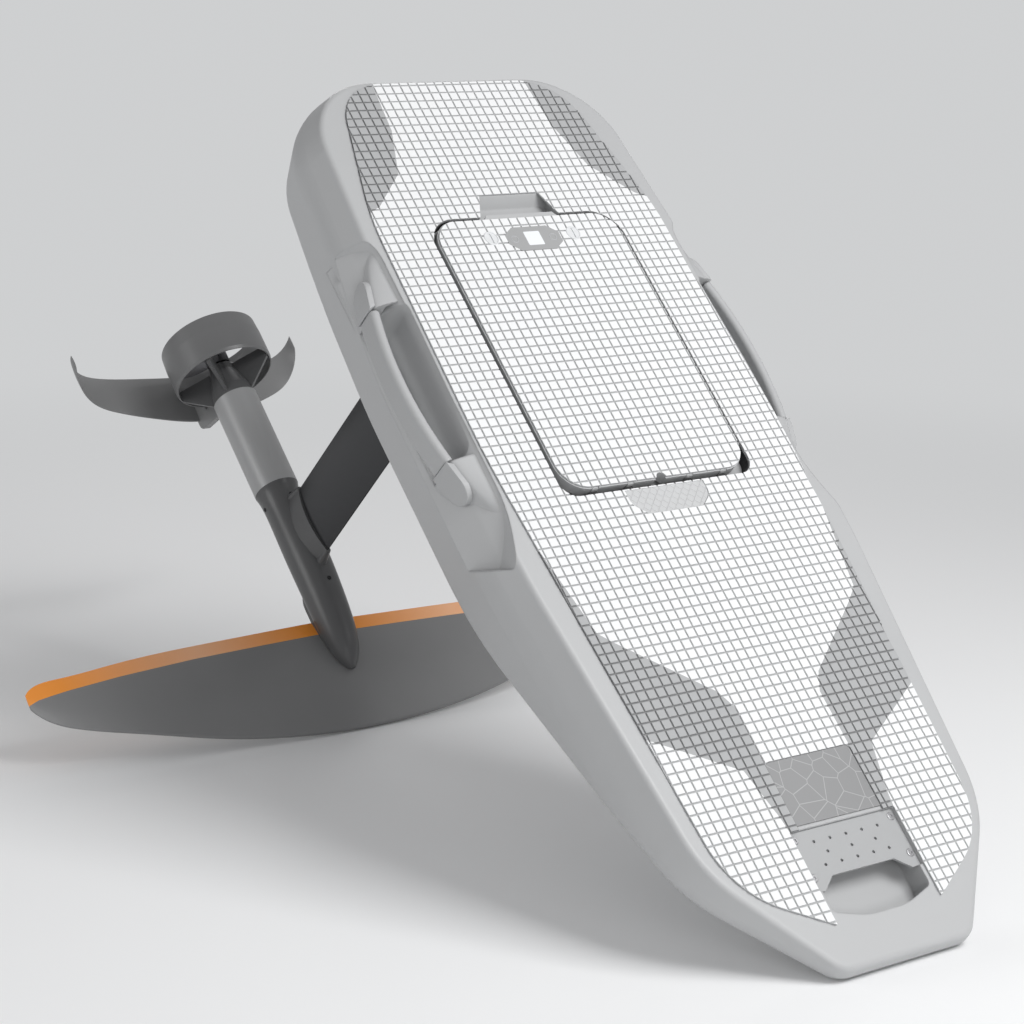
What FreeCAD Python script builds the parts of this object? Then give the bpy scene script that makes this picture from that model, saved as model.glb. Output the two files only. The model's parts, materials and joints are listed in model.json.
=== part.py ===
"""Electric hydrofoil surfboard, at rest on the front edge of its bow and the front of its main wing."""
import FreeCAD, Part
import math
import os

V = FreeCAD.Vector

# Millimetres. The board is modelled level: X to the bow, Y to port, Z up from the top of the deck pad.
# At the end the whole part is pitched nose down until the bow and the front wing both touch the floor.

# Hull
HULL_TAIL_X = -650
HULL_BOW_X = 1052
HULL_HALF_WIDTH = 350
HULL_TAIL_HALF_WIDTH = 312
SHOULDER_X = 850
SHOULDER_HALF_WIDTH = 300
BOW_HALF_WIDTH = 138
WIDEST_Z = -70
DECK_INSET = 20
BOTTOM_INSET = 34
RAIL_RADIUS = 90
DECK_EDGE_RADIUS = 9
BOTTOM_EDGE_RADIUS = 26
BOTTOM_Z = -205
TAIL_BOTTOM_Z = -160
BOW_BOTTOM_Z = -38
ROCKER_START_X = 300
ROCKER_END_X = 760
ROCKER_END_Z = -88

# Deck pad
PAD_T = 4
DECK_Z = -PAD_T
PAD_TAIL_X = -622
PAD_BOW_X = 968

# Battery bay, its lid and its hinge
LID_REAR_X = -326
LID_FRONT_X = 201
LID_HALF_WIDTH = 187.5
LID_CORNER_R = 50
LID_T = 18
LID_PROUD = 4
LID_SIDE_GAP = 6
LID_FRONT_GAP = 10
LID_OPENING_FRONT_R = 30
LID_TAB_LENGTH = 9
LID_TAB_HALF_WIDTH = 75
LEDGE_W = 32
SEAL_T = 5.7
SEAL_GAP = 0.3
SEAL_W = 10
BAY_FLOOR_Z = -140
BATTERY_L = 365
BATTERY_W = 296
BATTERY_H = 112
BAY_CLEARANCE = 5
HINGE_PIN_R = 2.5
HINGE_PIN_GAP = 0.4
HINGE_SETBACK = 3.5
HINGE_Z = -4.2
HINGE_LUG_W = 12
HINGE_LUG_R = 4.6
HINGE_ARM_T = 4.6
HINGE_LUG_YS = (60, 130)
HINGE_PIN_END_GAP = 14
NOTCH_R = 10

# Controls on the lid
CONSOLE_X = -280
CONSOLE_HALF_WIDTH = 55
CONSOLE_L = 48
CONSOLE_T = 5
DISPLAY_HALF_WIDTH = 16
DISPLAY_L = 28
DISPLAY_T = 1.5
LATCH_Y = 84
LATCH_R = 14
LATCH_T = 5

# Finger pocket behind the lid
POCKET_REAR_X = -378
POCKET_REAR_HALF_WIDTH = 60
POCKET_DEPTH = 18

# Smooth patch in front of the lid
PATCH_REAR_X = LID_FRONT_X + LID_FRONT_GAP + 2
PATCH_FRONT_X = 259
PATCH_HALF_WIDTH = 79
PATCH_FRONT_HALF_WIDTH = 66

# Bow: badge, perforated plate and hand recess
BADGE_REAR_X = 701
BADGE_FRONT_X = 807
BADGE_HALF_WIDTH = 84
BADGE_T = 2.5
PLATE_REAR_X = 814
PLATE_FRONT_X = 910
PLATE_HALF_WIDTH = 105
PLATE_T = 4
PLATE_TOP_Z = -8
PLATE_NOTCH_DEPTH = 20
PLATE_NOTCH_HALF_WIDTH = 76
PLATE_HOLE_R = 2.6
PLATE_HOLE_PITCH = 32
PLATE_SCREW_R = 3
PLATE_SCREW_HEAD_R = 6.5
PLATE_SCREW_L = 16
RECESS_REAR_X = 862
RECESS_FRONT_X = 962
RECESS_FLOOR_Z = -44
RECESS_HALF_WIDTH = 98

# Side handles, each in its scoop
SCOOP_REAR_X = -330
SCOOP_FRONT_X = 318
SCOOP_INNER_Y = 302
SCOOP_POCKET_Y = 297
SCOOP_LEAN_Y = 20
SCOOP_FLOOR_Z = -104
SCOOP_FLOOR_RISE = 20
SCOOP_END_SLOPE = 44
SCOOP_FRONT_SLOPE = 104
STRAP_REAR_X = -188
STRAP_FRONT_X = 104
STRAP_OUTER_Y = 365
STRAP_END_Y = 331
STRAP_T = 22
STRAP_TOP_Z = -18
STRAP_BOTTOM_Z = -75
CAP_L = 64
CAP_PROUD = 2
CAP_GAP = 0.3

# Mast and its base plate
MAST_REAR_X = -400
MAST_CHORD = 140
MAST_T = 19
MAST_EDGE_T = 3
BASE_L = 210
BASE_W = 104
BASE_T = 10
BASE_BOLT_R = 4
BASE_BOLT_HEAD_R = 7
BASE_BOLT_DX = 80
BASE_BOLT_DY = 38

# Fuselage and drive pod
AXIS_Z = -962
POD_REAR_X = -662
POD_FRONT_X = -446
POD_R = 44
FUSELAGE_R = 39.5
NOSE_X = -52
NOSE_DROP = 16
COLLAR_TOP_Z = -890
COLLAR_WALL = 5
COLLAR_FOOT_WALL = 15
HOUSING_END_X = -740
HOUSING_END_R = 24

# Duct and propeller
DUCT_FRONT_X = -718
DUCT_REAR_X = -806
DUCT_R = 100
DUCT_WALL = 6
STRUT_T = 7
STRUT_FRONT_X = -668
STRUT_REAR_X = -736
STRUT_COUNT = 4
PROP_X = -768
PROP_TIP_GAP = 6
PROP_BLADES = 3
PROP_HUB_R = 23
PROP_HUB_FRONT_X = -745
PROP_HUB_REAR_X = -792
SHAFT_R = 8
SHAFT_GAP = 0.4
SHAFT_DEPTH = 34

# Wings
WING_Z = -1000
STRIPE_W = 29
FAIRING_REAR_X = -272
FAIRING_FRONT_X = -66
FAIRING_HALF_WIDTH = 29
WING_BOLT_XS = (-190, -100)
WING_BOLT_R = 4
WING_BOLT_HEAD_R = 7
TAIL_WING_Z = -1096
PYLON_T = 13

# Planform of the hull at its widest level: x, half width, corner radius, from the tail to the bow
HULL_PLAN = (
    (HULL_TAIL_X, HULL_TAIL_HALF_WIDTH, 168),
    (-100, HULL_HALF_WIDTH, 1500),
    (330, HULL_HALF_WIDTH, 1200),
    (SHOULDER_X, SHOULDER_HALF_WIDTH, 220),
    (HULL_BOW_X, BOW_HALF_WIDTH, 60),
)

# Outline of the deck pad: x, half width, corner radius
PAD_PLAN = (
    (PAD_TAIL_X, 222, 105),
    (-345, 288, 500),
    (120, 298, 1500),
    (880, 252, 150),
    (PAD_BOW_X, 100, 60),
)

# Grey zones of the pad on the port side, x and y: a band at the tail corner and one along the bow
TAIL_ZONE = ((-700, 150), (-520, 165), (-430, 195), (-365, 262), (-335, 330), (-700, 330))
BOW_ZONE = (
    (258, 330), (258, 294), (445, 260), (467, 236), (575, 102), (608, BADGE_HALF_WIDTH),
    (PLATE_REAR_X, BADGE_HALF_WIDTH), (PLATE_REAR_X, PLATE_HALF_WIDTH), (790, 108), (706, 129), (590, 330),
)

# Main wing, one half: span y, leading edge x, trailing edge x, thickness
WING_SECTIONS = (
    (0, 64, -170, 26),
    (150, 56, -167, 24),
    (300, 32, -163, 20),
    (453, -8, -154, 15),
    (560, -38, -144, 11),
    (618, -68, -136, 7),
    (638, -92, -122, 4),
)

# Tail wing, one half: span y, rise z, leading edge x, trailing edge x, thickness, cant in degrees
TAIL_WING_SECTIONS = (
    (0, 0, -709, -819, 10, 0),
    (90, 0, -724, -824, 9, 0),
    (175, 1, -750, -832, 8, 4),
    (220, 8, -772, -841, 7, 18),
    (242, 24, -797, -851, 5, 48),
    (250, 48, -832, -862, 3, 70),
)

# Fuselage: x, drop of the centre, radius
FUSELAGE_SECTIONS = (
    (POD_FRONT_X, 0, POD_R),
    (-330, 0, FUSELAGE_R + 1),
    (-200, 4, FUSELAGE_R - 1),
    (-120, 10, 33),
    (-72, NOSE_DROP - 2, 20),
    (NOSE_X, NOSE_DROP, 6),
)

# Propeller blade: radius, chord, pitch in degrees, thickness
BLADE_SECTIONS = (
    (PROP_HUB_R - 4, 30, 58, 6),
    (55, 40, 38, 4.5),
    (DUCT_R - DUCT_WALL - PROP_TIP_GAP, 30, 25, 2.5),
)


def box(x0, x1, y0, y1, z0, z1):
    return Part.makeBox(x1 - x0, y1 - y0, z1 - z0, V(x0, y0, z0))


def rod(x, y, z, direction, radius, length):
    return Part.makeCylinder(radius, length, V(x, y, z), V(*direction))


def mirrored(shape):
    return shape.mirror(V(0, 0, 0), V(0, 1, 0))


def both_sides(shape):
    return Part.makeCompound([shape, mirrored(shape)])


def fused(shapes):
    return shapes[0].multiFuse(shapes[1:]).removeSplitter()


def inset(corners, distance):
    """The same convex outline, moved inward: each corner is x, y, radius, and they run anticlockwise."""
    moved = []
    for i, (x, y, radius) in enumerate(corners):
        x0, y0, _ = corners[i - 1]
        x1, y1, _ = corners[(i + 1) % len(corners)]
        length_in = math.hypot(x - x0, y - y0)
        length_out = math.hypot(x1 - x, y1 - y)
        in_x, in_y = (y0 - y) / length_in, (x - x0) / length_in
        out_x, out_y = (y - y1) / length_out, (x1 - x) / length_out
        share = distance / (1 + in_x * out_x + in_y * out_y)
        moved.append((x + share * (in_x + out_x), y + share * (in_y + out_y), max(radius - distance, 1)))
    return moved


def symmetric(half):
    """A closed outline from its port half, given from tail to bow."""
    return [(x, -y, r) for x, y, r in half] + [(x, y, r) for x, y, r in reversed(half)]


def outline(corners, z=0):
    """Closed wire through corners x, y, radius, each corner rounded by its radius."""
    ends = []
    for i, (x, y, radius) in enumerate(corners):
        corner = V(x, y, z)
        before = V(corners[i - 1][0], corners[i - 1][1], z)
        after = V(corners[(i + 1) % len(corners)][0], corners[(i + 1) % len(corners)][1], z)
        if not radius:
            ends.append((corner, None, corner))
            continue
        to_before = (before - corner).normalize()
        to_after = (after - corner).normalize()
        half_angle = to_before.getAngle(to_after) / 2
        tangent = radius / math.tan(half_angle)
        inward = (to_before + to_after).normalize()
        middle = corner + inward * (radius / math.sin(half_angle) - radius)
        ends.append((corner + to_before * tangent, middle, corner + to_after * tangent))
    edges = []
    for i, (start, middle, end) in enumerate(ends):
        if middle:
            edges.append(Part.Arc(start, middle, end).toShape())
        edges.append(Part.LineSegment(end, ends[(i + 1) % len(ends)][0]).toShape())
    return Part.Wire(edges)


def prism(corners, z0, z1):
    return Part.Face(outline(corners, z0)).extrude(V(0, 0, z1 - z0))


def sharp(points):
    return [(x, y, 0) for x, y in points]


def side_prism(corners, y0, y1):
    """A side view of corners x, z, radius, drawn out from y0 to y1."""
    face = Part.Face(outline(corners))
    face.rotate(V(0, 0, 0), V(1, 0, 0), 90)
    face.translate(V(0, y1, 0))
    return face.extrude(V(0, y0 - y1, 0))


def revolved(profile):
    """Closed profile of x, radius about the drive axis."""
    face = Part.Face(Part.makePolygon([V(x, 0, AXIS_Z + r) for x, r in profile + profile[:1]]))
    return face.revolve(V(0, 0, AXIS_Z), V(1, 0, 0), 360)


def level_edges(shape, z):
    return [e for e in shape.Edges if abs(e.BoundBox.ZMin - z) < 0.1 and abs(e.BoundBox.ZMax - z) < 0.1]


def lid_plan():
    return symmetric([
        (LID_REAR_X, LID_HALF_WIDTH, LID_CORNER_R),
        (LID_FRONT_X, LID_HALF_WIDTH, LID_CORNER_R),
    ])


def opening_plan():
    """The opening that the lid lies in. Its front corners are tighter, to clear the lid as it swings up."""
    half_width = LID_HALF_WIDTH + LID_SIDE_GAP
    return symmetric([
        (LID_REAR_X - LID_SIDE_GAP, half_width, LID_CORNER_R + LID_SIDE_GAP),
        (LID_FRONT_X + LID_FRONT_GAP, half_width, LID_OPENING_FRONT_R),
    ])


def hull_body():
    plan = symmetric(HULL_PLAN)
    levels = ((DECK_INSET, DECK_Z), (0, WIDEST_Z), (BOTTOM_INSET, BOTTOM_Z))
    body = Part.makeLoft([outline(inset(plan, d), z) for d, z in levels], True, True)
    body = body.makeFillet(RAIL_RADIUS, level_edges(body, WIDEST_Z))
    body = body.makeFillet(DECK_EDGE_RADIUS, level_edges(body, DECK_Z))
    margin = 50
    rocker = side_prism((
        (HULL_TAIL_X - margin, TAIL_BOTTOM_Z + 5, 0),
        (-330, BOTTOM_Z - 0.5, 1500),
        (ROCKER_START_X, BOTTOM_Z - 0.5, 900),
        (ROCKER_END_X, ROCKER_END_Z, 900),
        (HULL_BOW_X + margin, BOW_BOTTOM_Z + 4, 0),
        (HULL_BOW_X + margin, margin, 0),
        (HULL_TAIL_X - margin, margin, 0),
    ), -HULL_HALF_WIDTH - margin, HULL_HALF_WIDTH + margin)
    body = body.common(rocker).removeSplitter()
    bottom = []
    for face in body.Faces:
        u0, u1, v0, v1 = face.ParameterRange
        if face.normalAt((u0 + u1) / 2, (v0 + v1) / 2).z < -0.93:
            bottom.append(face)
    rim = {}
    for face in bottom:
        for edge in face.Edges:
            rim.setdefault(edge.hashCode(), []).append(edge)
    return body.makeFillet(BOTTOM_EDGE_RADIUS, [e[0] for e in rim.values() if len(e) == 1])


def scoop():
    """What the port handle's scoop takes out of the rail: a long flat on the rail that leans outward as it
    goes down and runs out at both ends, and a deeper pocket for fingers behind the strap."""
    out = HULL_HALF_WIDTH + 40
    rim_y = HULL_HALF_WIDTH - 14
    flat = prism((
        (SCOOP_REAR_X, out, 0),
        (SCOOP_REAR_X, rim_y, 0),
        (SCOOP_REAR_X + SCOOP_END_SLOPE, SCOOP_INNER_Y, 60),
        (SCOOP_FRONT_X - SCOOP_FRONT_SLOPE, SCOOP_INNER_Y, 300),
        (SCOOP_FRONT_X, rim_y, 0),
        (SCOOP_FRONT_X, out, 0),
    ), SCOOP_FLOOR_Z - 40, 20)
    flat = flat.common(cross_prism((
        (SCOOP_INNER_Y, 20, 0),
        (SCOOP_INNER_Y, DECK_Z - 4, 12),
        (SCOOP_INNER_Y + SCOOP_LEAN_Y, DECK_Z - 42, 60),
        (HULL_HALF_WIDTH - 4, SCOOP_FLOOR_Z - 20, 0),
        (out, SCOOP_FLOOR_Z - 20, 0),
        (out, 20, 0),
    ), SCOOP_REAR_X, SCOOP_FRONT_X))
    flat = flat.common(side_prism((
        (SCOOP_REAR_X - 10, 20, 0),
        (SCOOP_REAR_X + 20, SCOOP_FLOOR_Z - 40, 0),
        (SCOOP_FRONT_X - 90, SCOOP_FLOOR_Z - 40, 0),
        (SCOOP_FRONT_X + 14, 20, 0),
    ), 0, out))
    pocket = prism((
        (STRAP_REAR_X, out, 0),
        (STRAP_REAR_X, SCOOP_POCKET_Y, 24),
        (STRAP_FRONT_X, SCOOP_POCKET_Y + 8, 24),
        (STRAP_FRONT_X, out, 0),
    ), SCOOP_FLOOR_Z, 20)
    pocket = pocket.common(cross_prism((
        (SCOOP_POCKET_Y - 20, 20, 0),
        (SCOOP_POCKET_Y - 20, SCOOP_FLOOR_Z, 0),
        (out, SCOOP_FLOOR_Z + SCOOP_FLOOR_RISE, 0),
        (out, 20, 0),
    ), STRAP_REAR_X, STRAP_FRONT_X))
    return fused([flat, pocket])


def cross_prism(corners, x0, x1):
    """A cross-section of corners y, z, radius, drawn out from x0 to x1."""
    face = Part.Face(outline(corners))
    face.rotate(V(0, 0, 0), V(1, 1, 1), 120)
    face.translate(V(x0, 0, 0))
    return face.extrude(V(x1 - x0, 0, 0))


def bay_plan(extra=0):
    half_width = LID_HALF_WIDTH + LID_SIDE_GAP - LEDGE_W + extra
    return symmetric([
        (LID_REAR_X - LID_SIDE_GAP + LEDGE_W - extra, half_width, 24 + extra),
        (LID_FRONT_X + LID_FRONT_GAP - LEDGE_W - 6 + extra, half_width, 24 + extra),
    ])


def recess_plan():
    return symmetric([
        (RECESS_REAR_X, RECESS_HALF_WIDTH, 14),
        (RECESS_FRONT_X - 18, RECESS_HALF_WIDTH, 10),
        (RECESS_FRONT_X, 40, 120),
    ])


def plate_plan(gap=0):
    return symmetric([
        (PLATE_REAR_X - gap, PLATE_HALF_WIDTH + gap, 3),
        (PLATE_FRONT_X + gap, PLATE_HALF_WIDTH + gap, 1),
    ])


def plate_screw_spots():
    return [(x, s * (PLATE_HALF_WIDTH - 8)) for x in (PLATE_REAR_X + 12, PLATE_FRONT_X - 22) for s in (-1, 1)]


def base_bolt_spots():
    centre = MAST_REAR_X + MAST_CHORD / 2
    return [(centre + sx * BASE_BOLT_DX, sy * BASE_BOLT_DY) for sx in (-1, 1) for sy in (-1, 1)]


def hull():
    body = hull_body()
    cuts = [
        prism(opening_plan(), -LID_T - SEAL_GAP - SEAL_T, 20),
        prism(bay_plan(), BAY_FLOOR_Z, 20),
        side_prism((
            (LID_REAR_X - LID_SIDE_GAP + 1, 20, 0),
            (POCKET_REAR_X, 20, 0),
            (POCKET_REAR_X, DECK_Z, 0),
            (POCKET_REAR_X + 16, DECK_Z - POCKET_DEPTH, 0),
            (LID_REAR_X - LID_SIDE_GAP + 1, DECK_Z - POCKET_DEPTH, 0),
        ), -LID_TAB_HALF_WIDTH - 5, LID_TAB_HALF_WIDTH + 5),
        prism(plate_plan(0.5), PLATE_TOP_Z - PLATE_T, 20),
        prism(recess_plan(), RECESS_FLOOR_Z, 20),
        prism(badge_plan(0.5), DECK_Z - 1, 20),
        both_sides(scoop()),
        base_seat(0.5),
    ]
    for x, y in plate_screw_spots():
        depth = PLATE_SCREW_L
        cuts.append(rod(x, y, PLATE_TOP_Z - PLATE_T - depth, (0, 0, 1), PLATE_SCREW_R, depth + 1))
    for x, y in base_bolt_spots():
        cuts.append(rod(x, y, BOTTOM_Z, (0, 0, 1), BASE_BOLT_R, 30))
    body = body.cut(cuts)
    lugs = [hinge_lug(s * y) for y in HINGE_LUG_YS for s in (-1, 1)]
    return fused([body] + lugs)


def hinge_x():
    return LID_FRONT_X - HINGE_SETBACK


def hinge_lug(y):
    wall_x = LID_FRONT_X + LID_FRONT_GAP
    y0, y1 = y - HINGE_LUG_W / 2, y + HINGE_LUG_W / 2
    arm_z = HINGE_Z - HINGE_LUG_R + 0.6
    neck = box(hinge_x() - HINGE_LUG_R, hinge_x() + HINGE_LUG_R, y0, y1, arm_z - HINGE_ARM_T, HINGE_Z)
    arm = box(hinge_x(), wall_x, y0, y1, arm_z - HINGE_ARM_T, arm_z)
    eye = rod(hinge_x(), y0, HINGE_Z, (0, 1, 0), HINGE_LUG_R, HINGE_LUG_W)
    hole = rod(hinge_x(), y - HINGE_LUG_W, HINGE_Z, (0, 1, 0), HINGE_PIN_R, 2 * HINGE_LUG_W)
    root = box(wall_x - 0.5, wall_x + 4, y0, y1, arm_z - HINGE_ARM_T, arm_z)
    return fused([neck, arm, eye, root]).cut(hole)


def hinge_pins():
    start = HINGE_LUG_YS[0] - HINGE_PIN_END_GAP
    length = HINGE_LUG_YS[1] - HINGE_LUG_YS[0] + 2 * HINGE_PIN_END_GAP
    return both_sides(rod(hinge_x(), start, HINGE_Z, (0, 1, 0), HINGE_PIN_R, length))


def finger_notch(z0, z1):
    return rod(LID_FRONT_X, 0, z0, (0, 0, 1), NOTCH_R, z1 - z0)


def lug_notches(z0):
    """Room under the lid's pad for the hinge lugs, which the pad covers."""
    half, top = HINGE_LUG_W / 2 + 1, HINGE_Z + HINGE_LUG_R + 1
    return [box(hinge_x() - 9, LID_FRONT_X + 5, s * y - half, s * y + half, z0, top)
            for y in HINGE_LUG_YS for s in (-1, 1)]


def hatch_lid():
    body = prism(lid_plan(), -LID_T, 0)
    tab = prism(sharp((
        (LID_REAR_X + 10, -LID_TAB_HALF_WIDTH), (LID_REAR_X + 10, LID_TAB_HALF_WIDTH),
        (LID_REAR_X, LID_TAB_HALF_WIDTH), (LID_REAR_X - LID_TAB_LENGTH, LID_TAB_HALF_WIDTH - 8),
        (LID_REAR_X - LID_TAB_LENGTH, 8 - LID_TAB_HALF_WIDTH), (LID_REAR_X, -LID_TAB_HALF_WIDTH),
    )), -6, 0)
    body = fused([body, tab])
    hole_y = HINGE_LUG_YS[0] - HINGE_PIN_END_GAP - 1
    hole_l = HINGE_LUG_YS[1] - HINGE_LUG_YS[0] + 2 * HINGE_PIN_END_GAP + 2
    pin_hole = rod(hinge_x(), hole_y, HINGE_Z, (0, 1, 0), HINGE_PIN_R + HINGE_PIN_GAP, hole_l)
    seats = [console_prism(-CONSOLE_T + LID_PROUD, 1)]
    for y in (-LATCH_Y, LATCH_Y):
        seats.append(rod(CONSOLE_X - 5, y, LID_PROUD - LATCH_T, (0, 0, 1), LATCH_R, LATCH_T))
    return body.cut(lug_notches(-LID_T - 1) + [finger_notch(-LID_T - 1, 1), both_sides(pin_hole)] + seats)


def console_plan(grow=0):
    wide, narrow = CONSOLE_HALF_WIDTH + grow, CONSOLE_HALF_WIDTH - 20 + grow
    back, front = CONSOLE_X - CONSOLE_L / 2 - grow, CONSOLE_X + CONSOLE_L / 2 + grow
    return sharp((
        (back, -narrow), (back + 14, -wide), (front - 14, -wide), (front, -narrow),
        (front, narrow), (front - 14, wide), (back + 14, wide), (back, narrow),
    ))


def console_prism(z0, z1, grow=0):
    return prism(console_plan(grow), z0, z1)


def lid_pad():
    edge = 2
    body = prism(inset(lid_plan(), edge), 0, LID_PROUD)
    cuts = lug_notches(-1) + [finger_notch(-1, LID_PROUD + 1), console_prism(-1, LID_PROUD + 1)]
    for y in (-LATCH_Y, LATCH_Y):
        cuts.append(rod(CONSOLE_X - 5, y, -1, (0, 0, 1), LATCH_R, LID_PROUD + 2))
    return body.cut(cuts)


def console():
    body = console_prism(LID_PROUD - CONSOLE_T, LID_PROUD)
    return body.cut(display_prism(LID_PROUD - DISPLAY_T, LID_PROUD + 1))


def display_prism(z0, z1):
    half = DISPLAY_L / 2
    return prism(symmetric([(CONSOLE_X - half, DISPLAY_HALF_WIDTH, 2), (CONSOLE_X + half, DISPLAY_HALF_WIDTH, 2)]),
                 z0, z1)


def display():
    return display_prism(LID_PROUD - DISPLAY_T, LID_PROUD)


def latch_buttons():
    disc = rod(CONSOLE_X - 5, LATCH_Y, LID_PROUD - LATCH_T, (0, 0, 1), LATCH_R, LATCH_T)
    slot = box(CONSOLE_X - 15, CONSOLE_X + 5, LATCH_Y - 1.5, LATCH_Y + 1.5, LID_PROUD - 1.5, LID_PROUD + 1)
    return both_sides(disc.cut(slot))


def lid_seal():
    z0 = -LID_T - SEAL_GAP - SEAL_T
    return prism(bay_plan(2 + SEAL_W), z0, z0 + SEAL_T).cut(prism(bay_plan(2), z0 - 1, z0 + SEAL_T + 1))


def battery():
    front = LID_FRONT_X + LID_FRONT_GAP - LEDGE_W - 6 - BAY_CLEARANCE
    half = BATTERY_W / 2
    corners = symmetric([(front - BATTERY_L, half, 16), (front, half, 16)])
    return prism(corners, BAY_FLOOR_Z, BAY_FLOOR_Z + BATTERY_H)


def badge_plan(gap=0):
    return symmetric([
        (BADGE_REAR_X - gap, BADGE_HALF_WIDTH + gap, 8),
        (BADGE_FRONT_X + gap, BADGE_HALF_WIDTH + gap, 1),
    ])


def badge_plate():
    return prism(badge_plan(), DECK_Z - 1, DECK_Z - 1 + BADGE_T)


def patch_plan(gap=0):
    return symmetric([
        (PATCH_REAR_X, PATCH_HALF_WIDTH + gap, 0),
        (PATCH_FRONT_X - 20 + gap, PATCH_HALF_WIDTH + gap, 24),
        (PATCH_FRONT_X + gap, PATCH_FRONT_HALF_WIDTH - 12 + gap, 10),
    ])


def smooth_patch():
    return prism(patch_plan(), DECK_Z, -1.5)


def pad_sheet():
    """The whole deck pad, open at the lid, the finger pocket, the patch, the badge and the bow recess."""
    sheet = prism(symmetric(PAD_PLAN), DECK_Z, 0)
    return sheet.cut([
        prism(opening_plan(), DECK_Z - 1, 1),
        prism(sharp((
            (POCKET_REAR_X, -POCKET_REAR_HALF_WIDTH), (LID_REAR_X - LID_SIDE_GAP, -LID_TAB_HALF_WIDTH - 5),
            (LID_REAR_X, -LID_TAB_HALF_WIDTH - 5), (LID_REAR_X, LID_TAB_HALF_WIDTH + 5),
            (LID_REAR_X - LID_SIDE_GAP, LID_TAB_HALF_WIDTH + 5), (POCKET_REAR_X, POCKET_REAR_HALF_WIDTH),
        )), DECK_Z - 1, 1),
        prism(patch_plan(0.5), DECK_Z - 1, 1),
        prism(badge_plan(0.5), DECK_Z - 1, 1),
        prism(plate_plan(0.5), DECK_Z - 1, 1),
        prism(sharp(((PLATE_FRONT_X, -PLATE_HALF_WIDTH), (PAD_BOW_X + 9, -PLATE_HALF_WIDTH),
                     (PAD_BOW_X + 9, PLATE_HALF_WIDTH), (PLATE_FRONT_X, PLATE_HALF_WIDTH))), DECK_Z - 1, 1),
    ])


def zone_prism(zone):
    return prism(sharp(zone), DECK_Z - 1, 1)


def pad_pieces():
    sheet = pad_sheet()
    tail, bow = zone_prism(TAIL_ZONE), zone_prism(BOW_ZONE)
    pieces = {"deck_pad": sheet.cut([tail, mirrored(tail), bow, mirrored(bow)])}
    for name, zone in (("tail", tail), ("bow", bow)):
        pieces["deck_pad_" + name + "_port"] = sheet.common(zone)
        pieces["deck_pad_" + name + "_starboard"] = sheet.common(mirrored(zone))
    return pieces


def bow_plate():
    body = prism(plate_plan(), PLATE_TOP_Z - PLATE_T, PLATE_TOP_Z)
    deep, wide = PLATE_FRONT_X - PLATE_NOTCH_DEPTH, PLATE_NOTCH_HALF_WIDTH
    cuts = [prism(sharp((
        (deep, -wide + 14), (PLATE_FRONT_X + 5, -wide - 18), (PLATE_FRONT_X + 5, wide + 18), (deep, wide - 14),
    )), PLATE_TOP_Z - PLATE_T - 1, 1)]
    for x, y in plate_screw_spots():
        cuts.append(rod(x, y, PLATE_TOP_Z - PLATE_T - 1, (0, 0, 1), PLATE_SCREW_R + 0.3, PLATE_T + 2))
    for x, y in plate_holes():
        cuts.append(rod(x, y, PLATE_TOP_Z - PLATE_T - 1, (0, 0, 1), PLATE_HOLE_R, PLATE_T + 2))
    return body.cut(cuts)


def plate_holes():
    """Three rows of holes: x of the row, then how many stand at the pitch beside the centre line."""
    spots = []
    for x, steps in ((834, (-2, -1, 0, 1, 2)), (853, (-1.5, 0, 1.5)), (872, (-2, -1, 0, 1, 2))):
        spots += [(x, step * PLATE_HOLE_PITCH) for step in steps]
    return spots


def bow_plate_screws():
    screws = []
    for x, y in plate_screw_spots():
        head = rod(x, y, PLATE_TOP_Z, (0, 0, 1), PLATE_SCREW_HEAD_R, 2.5)
        shank_l = PLATE_T + PLATE_SCREW_L - 1
        shank = rod(x, y, PLATE_TOP_Z - shank_l, (0, 0, 1), PLATE_SCREW_R, shank_l)
        screws.append(fused([head, shank]))
    return Part.makeCompound(screws)


def strap_ring(y_out, y_in, x0, x1, z0, z1):
    """A bowed band in plan between two arcs through the strap's ends and middle."""
    mid = (STRAP_REAR_X + STRAP_FRONT_X) / 2
    rear, front = STRAP_REAR_X - CAP_L, STRAP_FRONT_X + CAP_L
    sag = STRAP_OUTER_Y - STRAP_END_Y
    outer = Part.Arc(V(rear, y_out - sag, z0), V(mid, y_out, z0), V(front, y_out - sag, z0)).toShape()
    inner = Part.Arc(V(front, y_in - sag, z0), V(mid, y_in, z0), V(rear, y_in - sag, z0)).toShape()
    ends = [Part.LineSegment(V(front, y_out - sag, z0), V(front, y_in - sag, z0)).toShape(),
            Part.LineSegment(V(rear, y_in - sag, z0), V(rear, y_out - sag, z0)).toShape()]
    band = Part.Face(Part.Wire([outer, ends[0], inner, ends[1]])).extrude(V(0, 0, z1 - z0))
    return band.common(box(x0, x1, 0, y_out + 50, z0, z1))


def strap():
    band = strap_ring(STRAP_OUTER_Y, STRAP_OUTER_Y - STRAP_T, STRAP_REAR_X, STRAP_FRONT_X,
                      STRAP_BOTTOM_Z, STRAP_TOP_Z)
    along = [e for e in band.Edges if e.Length > 100]
    return band.makeFillet(9, along)


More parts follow.
